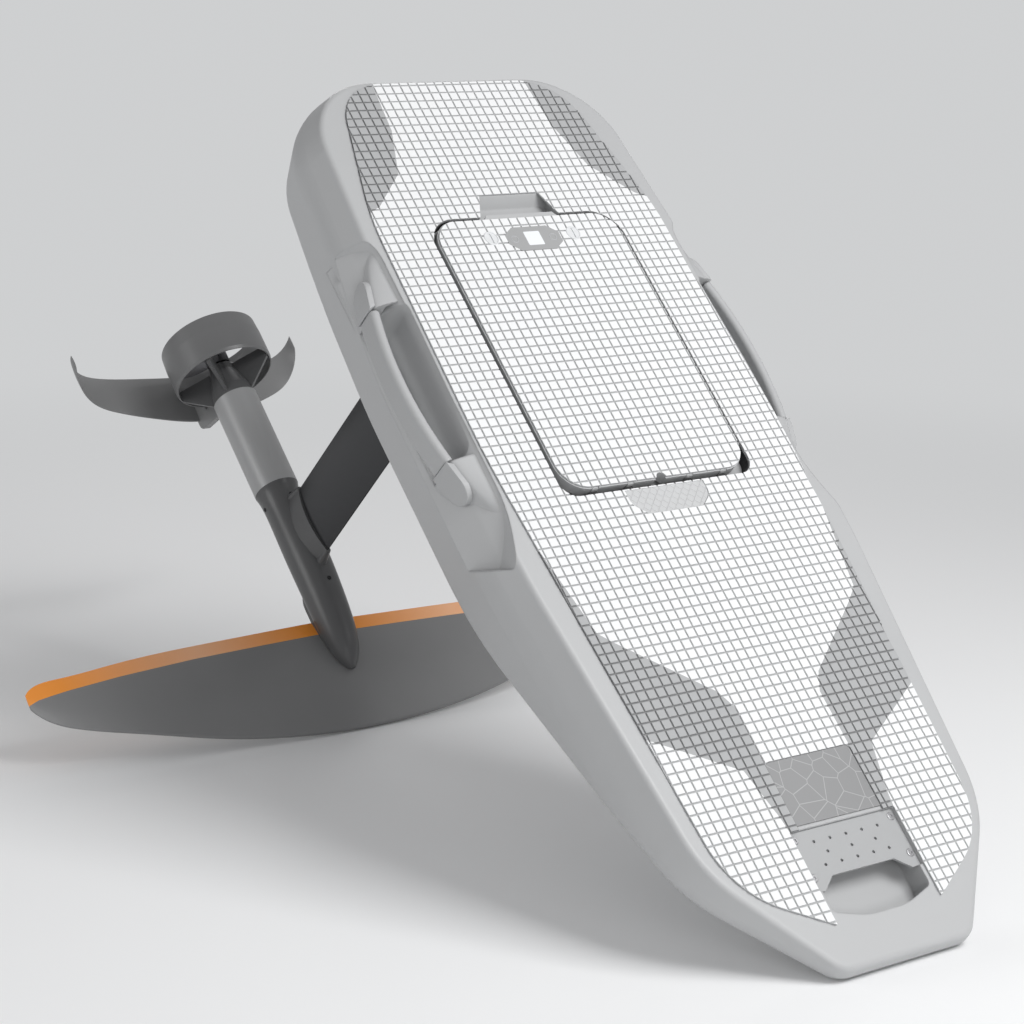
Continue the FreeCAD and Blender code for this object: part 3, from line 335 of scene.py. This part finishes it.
def foam(name, colour, groove_shade_colour, top):
    """Matt foam with painted shade in its grooves: below the lugs' tops the colour turns darker."""
    material = finish(name, colour, 0.75, grain=0.35, grain_size=0.0016, drift=0.015, drift_size=0.05)
    nodes, links = material.node_tree.nodes, material.node_tree.links
    height = nodes.new("ShaderNodeSeparateXYZ")
    links.new(nodes["board axes"].outputs["Vector"], height.inputs["Vector"])
    # Painted shade: below the lugs' tops the grooves' walls and floors take the darker groove colour.
    depth = nodes.new("ShaderNodeMapRange")
    depth.inputs["From Min"].default_value = (top - GROOVE_DEPTH + 0.1) * MM
    depth.inputs["From Max"].default_value = (top - LUG_EDGE) * MM
    links.new(height.outputs["Z"], depth.inputs["Value"])
    groove_shade = nodes.new("ShaderNodeMix")
    groove_shade.data_type = "RGBA"
    groove_shade.inputs["A"].default_value = list(groove_shade_colour) + [1]
    links.new(depth.outputs["Result"], groove_shade.inputs["Factor"])
    links.new(nodes["tone"].outputs["Result"], groove_shade.inputs["B"])
    links.new(groove_shade.outputs["Result"], nodes["Principled BSDF"].inputs["Base Color"])
    return material


foam_white = foam("foam_white", FOAM_WHITE, GROOVE_SHADE_ON_WHITE, 0)
foam_grey = foam("foam_grey", FOAM_GREY, GROOVE_SHADE_ON_GREY, 0)
deck_slab = tread_slab("deck_slab", *DECK_REACH, 0)

# No foam lies between the badge and the bow plate
cut_box(deck_slab, *BADGE_TO_PLATE, -20, 20)
for node in [n for n in frame["nodes"] if n.startswith("deck_pad")]:
    tread = cut_to_sheet(deck_slab, node, 0, PAD_T)
    tread.data.materials.append(foam_white if node == "deck_pad" else foam_grey)
    lay_down(tread, "board")
    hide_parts(node)
bpy.data.objects.remove(deck_slab)

# Battery lid
# A moulded panel with its own piece of the grooved foam on top, a hair above the deck. It turns on pins
# under the foam at its bow edge and closes on a soft seal. A black ring in the gap round it is painted
# shade.
LID_PROUD = 4
LID_PAD_T = 4
LID_REACH = (-345, 220, -200, 200)
lid_slab = tread_slab("lid_slab", *LID_REACH, LID_PROUD)
lid_tread = cut_to_sheet(lid_slab, "lid_pad", LID_PROUD, LID_PAD_T)
bpy.data.objects.remove(lid_slab)
lid_tread.data.materials.append(foam("lid_foam", FOAM_WHITE, GROOVE_SHADE_ON_WHITE, LID_PROUD))
lay_down(lid_tread, "lid")
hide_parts("lid_pad")
dress("hatch_lid", finish("lid_shell", (0.45, 0.455, 0.46), 0.45, grain=0.2, grain_size=0.001, drift=0.02))
# This black finish serves the real rubber seal and also the painted shade in the gap round the lid.
black_rubber_and_gap_shade = finish("black_rubber_and_gap_shade", (0.012, 0.012, 0.013), 0.6, grain=0.2, grain_size=0.001, drift=0.05)
dress("lid_seal", black_rubber_and_gap_shade)
dress("battery", finish("battery_case", (0.02, 0.02, 0.022), 0.5, grain=0.4, grain_size=0.002, drift=0.1))

# A black ring just inside the opening is painted shade for the gap round the lid
OPENING_REAR, OPENING_FRONT, OPENING_HALF = -332, 211, 193.5
OPENING_REAR_R, OPENING_FRONT_R = 56, 30
SHADE_RING_GAP, SHADE_RING_T = 0.2, 1.2
SHADE_RING_TOP, SHADE_RING_FOOT = -5, -23.8
POCKET_HALF, POCKET_FOOT = 80, -22
opening_x = (OPENING_REAR + OPENING_FRONT) / 2
bpy.ops.mesh.primitive_plane_add(size=1, location=(opening_x * MM, 0, SHADE_RING_FOOT * MM))
gap_shade_ring = bpy.context.object
gap_shade_ring.name = "opening_gap_shade"
gap_shade_ring.scale = ((OPENING_FRONT - OPENING_REAR - 2 * SHADE_RING_GAP) * MM,
                2 * (OPENING_HALF - SHADE_RING_GAP) * MM, 1)
bpy.ops.object.transform_apply()
bpy.ops.object.mode_set(mode="EDIT")
bpy.ops.mesh.select_all(action="DESELECT")
bpy.ops.mesh.select_mode(type="VERT")
bpy.ops.object.mode_set(mode="OBJECT")
for point in gap_shade_ring.data.vertices:
    point.select = point.co.x < 0
bpy.ops.object.mode_set(mode="EDIT")
bpy.ops.mesh.bevel(offset=OPENING_REAR_R * MM, segments=14, affect="VERTICES")
bpy.ops.mesh.select_all(action="DESELECT")
bpy.ops.object.mode_set(mode="OBJECT")
for point in gap_shade_ring.data.vertices:
    point.select = point.co.x > (OPENING_FRONT - 1) * MM
bpy.ops.object.mode_set(mode="EDIT")
bpy.ops.mesh.bevel(offset=OPENING_FRONT_R * MM, segments=10, affect="VERTICES")
bpy.ops.mesh.select_mode(type="FACE")
bpy.ops.mesh.select_all(action="SELECT")
bpy.ops.mesh.inset(thickness=SHADE_RING_T * MM)
bpy.ops.mesh.delete(type="FACE")
bpy.ops.mesh.select_all(action="SELECT")
shade_ring_rise = (0, 0, (SHADE_RING_TOP - SHADE_RING_FOOT) * MM)
bpy.ops.mesh.extrude_region_move(TRANSFORM_OT_translate={"value": shade_ring_rise})
bpy.ops.mesh.select_all(action="SELECT")
bpy.ops.mesh.normals_make_consistent(inside=False)
bpy.ops.object.mode_set(mode="OBJECT")

# The finger pocket behind the lid stays open
cut_box(gap_shade_ring, OPENING_REAR - 10, OPENING_REAR + 10, -POCKET_HALF, POCKET_HALF, POCKET_FOOT, 20)
gap_shade_ring.data.materials.clear()
gap_shade_ring.data.materials.append(black_rubber_and_gap_shade)
lay_down(gap_shade_ring, "board")

# Black tongues cover the hinge's arms where they cross the gap, as painted shade there
HINGE_ARM_YS = (-130, -60, 60, 130)
HINGE_ARM_TOP = -8.2
TONGUE_L, TONGUE_W, TONGUE_T = 9.6, 12.6, 0.4
TONGUE_X, TONGUE_Z = OPENING_FRONT - 5, HINGE_ARM_TOP + TONGUE_T / 2
tongues = []
for y in HINGE_ARM_YS:
    bpy.ops.mesh.primitive_cube_add(size=1, location=(TONGUE_X * MM, y * MM, TONGUE_Z * MM))
    tongue = bpy.context.object
    tongue.scale = (TONGUE_L * MM, TONGUE_W * MM, TONGUE_T * MM)
    tongues.append(tongue)
for tongue in tongues:
    tongue.select_set(True)
bpy.ops.object.join()
tongues = bpy.context.object
tongues.name = "hinge_gap_shade_tongues"
bpy.ops.object.transform_apply()
tongues.data.materials.append(black_rubber_and_gap_shade)
lay_down(tongues, "board")

# Console and latches on the lid
# A grey octagonal panel with a blank lit window between two ringed keys, and a slotted turn latch in a
# moulded ring on either side. The keys' signs are left off.
dress("console", finish("console_panel", (0.34, 0.343, 0.346), 0.4, grain=0.2, grain_size=0.001, drift=0.03))
dress("display", finish("display_window", (0.80, 0.82, 0.84), 0.12, grain=0.0, drift=0.01))
latch_white = finish("latch_plastic", (0.66, 0.67, 0.68), 0.5, grain=0.2, grain_size=0.001, drift=0.02)
dress("latch_buttons", latch_white)

# ring: name, x, y, radius, half its thickness
RING_Z = LID_PROUD - 0.2
RINGS = (
    ("key_ring_port", -280, 39, 6.5, 0.9), ("key_ring_starboard", -280, -39, 6.5, 0.9),
    ("latch_ring_port", -285, 84, 12.6, 1.3), ("latch_ring_starboard", -285, -84, 12.6, 1.3),
)
ring_grey = finish("key_grey", (0.42, 0.43, 0.44), 0.4, grain=0.1, drift=0.02)
for name, x, y, radius, thick in RINGS:
    bpy.ops.mesh.primitive_torus_add(location=(x * MM, y * MM, RING_Z * MM), major_segments=48,
                                     minor_segments=10, major_radius=radius * MM, minor_radius=thick * MM)
    ring = bpy.context.object
    ring.name = name
    bpy.ops.object.transform_apply()
    bpy.ops.object.shade_smooth()
    ring.data.materials.append(ring_grey if name.startswith("key") else latch_white)
    lay_down(ring, "lid")

# Grip patch, badge and bow plate
# Light moulded rubber with a fine diamond weave in front of the lid, a dark badge with thin crossing
# lines, its lettering left off, and a perforated plate for straps.
WEAVE_PITCH, WEAVE_LINE, WEAVE_DEPTH = 12, 0.8, 0.5
patch_rubber = finish("patch_rubber", (0.50, 0.505, 0.51), 0.6, grain=0.3, grain_size=0.002, drift=0.02)
nodes, links = patch_rubber.node_tree.nodes, patch_rubber.node_tree.links
weave = nodes.new("ShaderNodeTexBrick")
weave.inputs["Scale"].default_value = 1
weave.inputs["Brick Width"].default_value = WEAVE_PITCH * MM
weave.inputs["Row Height"].default_value = WEAVE_PITCH * MM
weave.inputs["Mortar Size"].default_value = WEAVE_LINE * MM
weave.inputs["Mortar Smooth"].default_value = 0.6
diamond = nodes.new("ShaderNodeMapping")
diamond.inputs["Rotation"].default_value = (0, 0, math.radians(45))
links.new(nodes["board axes"].outputs["Vector"], diamond.inputs["Vector"])
links.new(diamond.outputs["Vector"], weave.inputs["Vector"])
relief = nodes.new("ShaderNodeBump")
relief.inputs["Distance"].default_value = WEAVE_DEPTH * MM
relief.invert = True
links.new(weave.outputs["Fac"], relief.inputs["Height"])
links.new(relief.outputs["Normal"], nodes["grain"].inputs["Normal"])
dress("smooth_patch", patch_rubber)

CELLS_PER_METRE = 32
LINE_HEART, LINE_EDGE = 0.008, 0.03
LINE_GREY = (0.38, 0.383, 0.386, 1)
badge_panel = finish("badge_panel", (0.25, 0.252, 0.255), 0.38, grain=0.15, grain_size=0.001, drift=0.04)
nodes, links = badge_panel.node_tree.nodes, badge_panel.node_tree.links
cells = nodes.new("ShaderNodeTexVoronoi")
cells.feature = "DISTANCE_TO_EDGE"
cells.voronoi_dimensions = "2D"
cells.inputs["Scale"].default_value = CELLS_PER_METRE
links.new(nodes["board axes"].outputs["Vector"], cells.inputs["Vector"])
thin = nodes.new("ShaderNodeMapRange")
thin.inputs["From Min"].default_value = LINE_HEART
thin.inputs["From Max"].default_value = LINE_EDGE
thin.inputs["To Min"].default_value = 1
thin.inputs["To Max"].default_value = 0
links.new(cells.outputs["Distance"], thin.inputs["Value"])
lines = nodes.new("ShaderNodeMix")
lines.data_type = "RGBA"
lines.inputs["B"].default_value = LINE_GREY
links.new(thin.outputs["Result"], lines.inputs["Factor"])
links.new(nodes["tone"].outputs["Result"], lines.inputs["A"])
links.new(lines.outputs["Result"], nodes["Principled BSDF"].inputs["Base Color"])
dress("badge_plate", badge_panel)
plate_paint = finish("plate_paint", (0.36, 0.365, 0.37), 0.42, grain=0.15, grain_size=0.001, drift=0.03)
dress("bow_plate", plate_paint)

# Screws
# Low round heads with a hex socket: four hold the bow plate, and four dark ones hold the mast's collar
# and the fuselage together.
steel = finish("steel", (0.42, 0.42, 0.43), 0.32, metallic=1.0, grain=0.1, grain_size=0.0005, drift=0.05)
dark_steel = finish("dark_steel", (0.03, 0.03, 0.032), 0.4, metallic=0.7, grain=0.1,
                    grain_size=0.0005, drift=0.1)
for node in ("mast_base_bolts", "wing_bolts", "hinge_pins", "propeller_shaft"):
    dress(node, steel)
SOCKET_SHARE, HEAD_EDGE_SHARE, SOCKET_LIFT = 0.42, 0.14, 1.1


def socket_screws(name, spots, radius, rise, finish_of):
    """Screw heads in one piece. Each spot is x, y, z and the way it faces, across y and up."""
    heads = []
    for x, y, z, to_y, to_z in spots:
        stand = Vector((0, to_y, to_z)).to_track_quat("Z", "Y").to_matrix().to_4x4()
        bpy.ops.mesh.primitive_cylinder_add(vertices=40, radius=radius * MM, depth=2 * rise * MM)
        head = bpy.context.object
        bpy.ops.mesh.primitive_cylinder_add(vertices=6, radius=radius * SOCKET_SHARE * MM,
                                            depth=2 * rise * MM, location=(0, 0, rise * SOCKET_LIFT * MM))
        hexagon = bpy.context.object
        bpy.ops.object.transform_apply()
        pick(head)
        soft = head.modifiers.new("soft", "BEVEL")
        soft.width = radius * HEAD_EDGE_SHARE * MM
        soft.segments = 3
        bpy.ops.object.modifier_apply(modifier="soft")
        carve(head, hexagon)
        head.data.transform(Matrix.Translation(Vector((x, y, z)) * MM) @ stand)
        heads.append(head)
    for head in heads:
        head.select_set(True)
    bpy.ops.object.join()
    screws = bpy.context.object
    screws.name = name
    screws.data.materials.clear()
    screws.data.materials.append(finish_of)
    lay_down(screws, "board")
    return screws


PLATE_TOP = -8
plate_screws = socket_screws("plate_screw_heads", [
    (x, y, PLATE_TOP, 0, 1) for x in (826, 888) for y in (-97, 97)
], 6.4, 1.6, steel)
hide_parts("bow_plate_screws")
socket_screws("collar_screws", [
    (-412, 0, -923.8, 0, 1), (-220, 0, -925.6, 0, 1), (-411, 38.5, -969.5, 0.98, -0.18),
    (-411, -38.5, -969.5, -0.98, -0.18),
], 4.2, 1.2, dark_steel)

# Side handles
# Soft moulded sleeves over webbing, bowed clear of the rail, with a D-shaped pad at each end. Under each
# pad the hull swells up in a smooth ramp, which drops behind the sleeve into the pocket for fingers.
STRAP_MIDDLE_X, STRAP_HALF_L = -42, 145.4
ARC_CENTRE_Y, ARC_R = -300.5, 665.5
SLEEVE_THICK, SLEEVE_HIGH, SLEEVE_Z = 17, 46, -50
SLEEVE_CORNER, SLEEVE_END_EDGE = 8, 2.2
PAD_THICK, PAD_SQUEEZE, PAD_MIDDLE_Z = 12, 0.80, -46.5
PAD_RIM = 4
WALL_TOP_Z, WALL_KNEE_Z, WALL_FOOT_Z = -8, -46, -124
WALL_TOP_Y, WALL_KNEE_Y, WALL_FOOT_Y = 302, 322, 346
RAMP_TOP_Z, RAMP_HIGH_Z, RAMP_LOW_Z, RAMP_FOOT_Z = -9, -28, -68, -107
RAMP_UNDER_PAD, RAMP_IN_WALL, RAMP_SUNK, RAMP_T = 7, 0.8, 6, 20

# ramp: end, where it leaves the hull, where it drops behind the sleeve
RAMPS = (("rear", -322, -188.2), ("front", 258, 104.2))
strap_rubber = finish("strap_rubber", (0.41, 0.415, 0.42), 0.55, grain=0.4, grain_size=0.0012, drift=0.02)
half_turn = math.asin(STRAP_HALF_L / ARC_R)


def smooth_step(low, high, value):
    """Rises softly from 0 at the first bound to 1 at the second."""
    t = min(max((value - low) / (high - low), 0), 1)
    return t * t * (3 - 2 * t)


def scoop_wall(z):
    """How far out the scoop's leaning wall stands at that height."""
    if z > WALL_KNEE_Z:
        return WALL_TOP_Y + (WALL_KNEE_Y - WALL_TOP_Y) * (WALL_TOP_Z - z) / (WALL_TOP_Z - WALL_KNEE_Z)
    return WALL_KNEE_Y + (WALL_FOOT_Y - WALL_KNEE_Y) * (WALL_KNEE_Z - z) / (WALL_KNEE_Z - WALL_FOOT_Z)


def pad_face(x):
    """How far out the pads and the sleeve stand at that place along the board."""
    return ARC_CENTRE_Y + math.sqrt(ARC_R ** 2 - (x - STRAP_MIDDLE_X) ** 2)


for side, mirror in (("port", 1), ("starboard", -1)):
    middle_r = ARC_R - SLEEVE_THICK / 2
    start_x = STRAP_MIDDLE_X - middle_r * math.sin(half_turn)
    start_y = ARC_CENTRE_Y + middle_r * math.cos(half_turn)
    bpy.ops.mesh.primitive_plane_add(size=1, location=(start_x * MM, start_y * MM, SLEEVE_Z * MM),
                                     rotation=(math.radians(90), 0, math.radians(90) + half_turn))
    sleeve = bpy.context.object
    sleeve.name = "strap_sleeve_" + side
    sleeve.scale = (SLEEVE_THICK * MM, SLEEVE_HIGH * MM, 1)
    bpy.ops.object.transform_apply()
    bpy.ops.object.mode_set(mode="EDIT")
    bpy.ops.mesh.select_all(action="SELECT")
    bpy.ops.mesh.bevel(offset=SLEEVE_CORNER * MM, segments=8, affect="VERTICES")
    arc_centre = (STRAP_MIDDLE_X * MM, ARC_CENTRE_Y * MM, SLEEVE_Z * MM)
    bpy.ops.mesh.spin(steps=40, angle=2 * half_turn, center=arc_centre, axis=(0, 0, 1))
    bpy.ops.mesh.select_all(action="SELECT")
    bpy.ops.mesh.remove_doubles(threshold=0.01 * MM)
    bpy.ops.mesh.select_all(action="DESELECT")
    bpy.ops.mesh.select_mode(type="EDGE")
    bpy.ops.mesh.select_non_manifold()
    bpy.ops.mesh.edge_face_add()
    bpy.ops.mesh.select_all(action="SELECT")
    bpy.ops.mesh.normals_make_consistent(inside=False)
    bpy.ops.object.mode_set(mode="OBJECT")
    ends = sleeve.modifiers.new("ends", "BEVEL")
    ends.limit_method = "ANGLE"
    ends.angle_limit = math.radians(60)
    ends.width = SLEEVE_END_EDGE * MM
    ends.segments = 3
    bpy.ops.object.modifier_apply(modifier="ends")
    bpy.ops.object.shade_smooth_by_angle(angle=math.radians(40))
    sleeve.data.transform(Matrix.Diagonal((1, mirror, 1, 1)))
    if mirror < 0:
        sleeve.data.flip_normals()
    sleeve.data.materials.append(strap_rubber)
    lay_down(sleeve, "board")
    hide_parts("handle_strap_" + side)

    # The pads keep the solids' outline and face, made thinner and a little lower
    pads = merged_copy("handle_caps_" + side)
    pads.name = "handle_pads_" + side
    for point in pads.data.vertices:
        x, y = point.co.x / MM - STRAP_MIDDLE_X, mirror * point.co.y / MM - ARC_CENTRE_Y
        reach = math.hypot(x, y)
        deeper = max(reach, ARC_R - PAD_THICK) / reach
        point.co.x = (STRAP_MIDDLE_X + x * deeper) * MM
        point.co.y = mirror * (ARC_CENTRE_Y + y * deeper) * MM
        point.co.z = SLEEVE_Z * MM + (point.co.z - PAD_MIDDLE_Z * MM) * PAD_SQUEEZE
    bpy.ops.object.mode_set(mode="EDIT")
    bpy.ops.mesh.select_all(action="SELECT")
    bpy.ops.mesh.remove_doubles(threshold=0.05 * MM)
    bpy.ops.mesh.dissolve_limited(angle_limit=math.radians(3))
    bpy.ops.object.mode_set(mode="OBJECT")
    rim = pads.modifiers.new("rim", "BEVEL")
    rim.limit_method = "ANGLE"
    rim.angle_limit = math.radians(45)
    rim.width = PAD_RIM * MM
    rim.segments = 4
    bpy.ops.object.modifier_apply(modifier="rim")
    bpy.ops.object.shade_smooth_by_angle(angle=math.radians(40))
    pads.data.materials.append(strap_rubber)
    lay_down(pads, "board")
    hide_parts("handle_caps_" + side)

    for end, far_x, near_x in RAMPS:
        bpy.ops.mesh.primitive_grid_add(x_subdivisions=44, y_subdivisions=36, size=1)
        ramp = bpy.context.object
        ramp.name = "handle_ramp_%s_%s" % (end, side)
        for point in ramp.data.vertices:
            across = point.co.x + 0.5
            x = far_x + (near_x - far_x) * across
            z = RAMP_TOP_Z + (RAMP_FOOT_Z - RAMP_TOP_Z) * (point.co.y + 0.5)
            rise = smooth_step(RAMP_TOP_Z, RAMP_HIGH_Z, z) * smooth_step(RAMP_FOOT_Z, RAMP_LOW_Z, z)
            along = smooth_step(0, 1, across)
            wall = scoop_wall(z) - RAMP_IN_WALL
            swell = max(pad_face(x) - RAMP_UNDER_PAD - wall, 0) * rise * min(1, 3 * along)
            sunk = RAMP_SUNK * (1 - smooth_step(0, 0.2, along) * smooth_step(0, 0.25, rise))
            point.co = Vector((x, mirror * (wall - sunk + swell), z)) * MM
        bpy.ops.object.mode_set(mode="EDIT")
        bpy.ops.mesh.select_all(action="SELECT")
        bpy.ops.mesh.extrude_region_move(TRANSFORM_OT_translate={"value": (0, -mirror * RAMP_T * MM, 0)})
        bpy.ops.mesh.select_all(action="SELECT")
        bpy.ops.mesh.normals_make_consistent(inside=False)
        bpy.ops.object.mode_set(mode="OBJECT")
        bpy.ops.object.shade_smooth_by_angle(angle=math.radians(50))
        ramp.data.materials.append(hull_lacquer)
        lay_down(ramp, "board")

# Mast, fuselage and drive
# Dark anodised and painted aluminium, with the drive's housing left in light bead-blasted metal.
dark_paint = finish("dark_paint", (0.10, 0.101, 0.103), 0.34, grain=0.15, grain_size=0.001, drift=0.08)
mast_anodised = finish("mast_anodised", (0.05, 0.051, 0.054), 0.36, metallic=0.6, grain=0.1,
                       grain_size=0.001, drift=0.08)
dress("mast", mast_anodised)
for node in ("mast_base", "mast_collar", "fuselage", "wing_fairing", "tail_housing", "duct_struts"):
    dress(node, dark_paint)
wing_paint = finish("wing_paint", (0.22, 0.221, 0.223), 0.36, grain=0.15, grain_size=0.001, drift=0.06)
for node in ("front_wing", "stabilizer", "stabilizer_pylon"):
    dress(node, wing_paint)
duct_paint = finish("duct_paint", (0.17, 0.171, 0.173), 0.36, grain=0.15, grain_size=0.001, drift=0.06)
dress("duct_ring", duct_paint)
pod_metal = finish("pod_metal", (0.38, 0.383, 0.386), 0.4, metallic=0.2, grain=0.3,
                   grain_size=0.0008, drift=0.03)
dress("pod", pod_metal)
dress("propeller", finish("propeller_metal", (0.2, 0.2, 0.21), 0.35, metallic=0.8, grain=0.1, drift=0.05))

# Stripe
# Orange at the tips and the root, washed out to a pale peach between them.
ORANGE, PEACH = (0.95, 0.33, 0.045, 1), (0.93, 0.50, 0.28, 1)
HALF_SPAN = 0.64
stripe = finish("stripe_orange", ORANGE[:3], 0.36, grain=0.1, grain_size=0.001, drift=0.04)
nodes, links = stripe.node_tree.nodes, stripe.node_tree.links
span = nodes.new("ShaderNodeSeparateXYZ")
links.new(nodes["board axes"].outputs["Vector"], span.inputs["Vector"])
tip_to_tip = nodes.new("ShaderNodeMapRange")
tip_to_tip.inputs["From Min"].default_value = -HALF_SPAN
tip_to_tip.inputs["From Max"].default_value = HALF_SPAN
links.new(span.outputs["Y"], tip_to_tip.inputs["Value"])
wash = nodes.new("ShaderNodeValToRGB")
wash.color_ramp.elements[0].color = ORANGE
wash.color_ramp.elements[1].color = ORANGE
for place, tint in ((0.06, ORANGE), (0.28, PEACH), (0.46, ORANGE),
                    (0.54, ORANGE), (0.72, PEACH), (0.94, ORANGE)):
    wash.color_ramp.elements.new(place).color = tint
links.new(tip_to_tip.outputs["Result"], wash.inputs["Fac"])
links.new(wash.outputs["Color"], nodes["Principled BSDF"].inputs["Base Color"])
dress("front_wing_stripe", stripe)
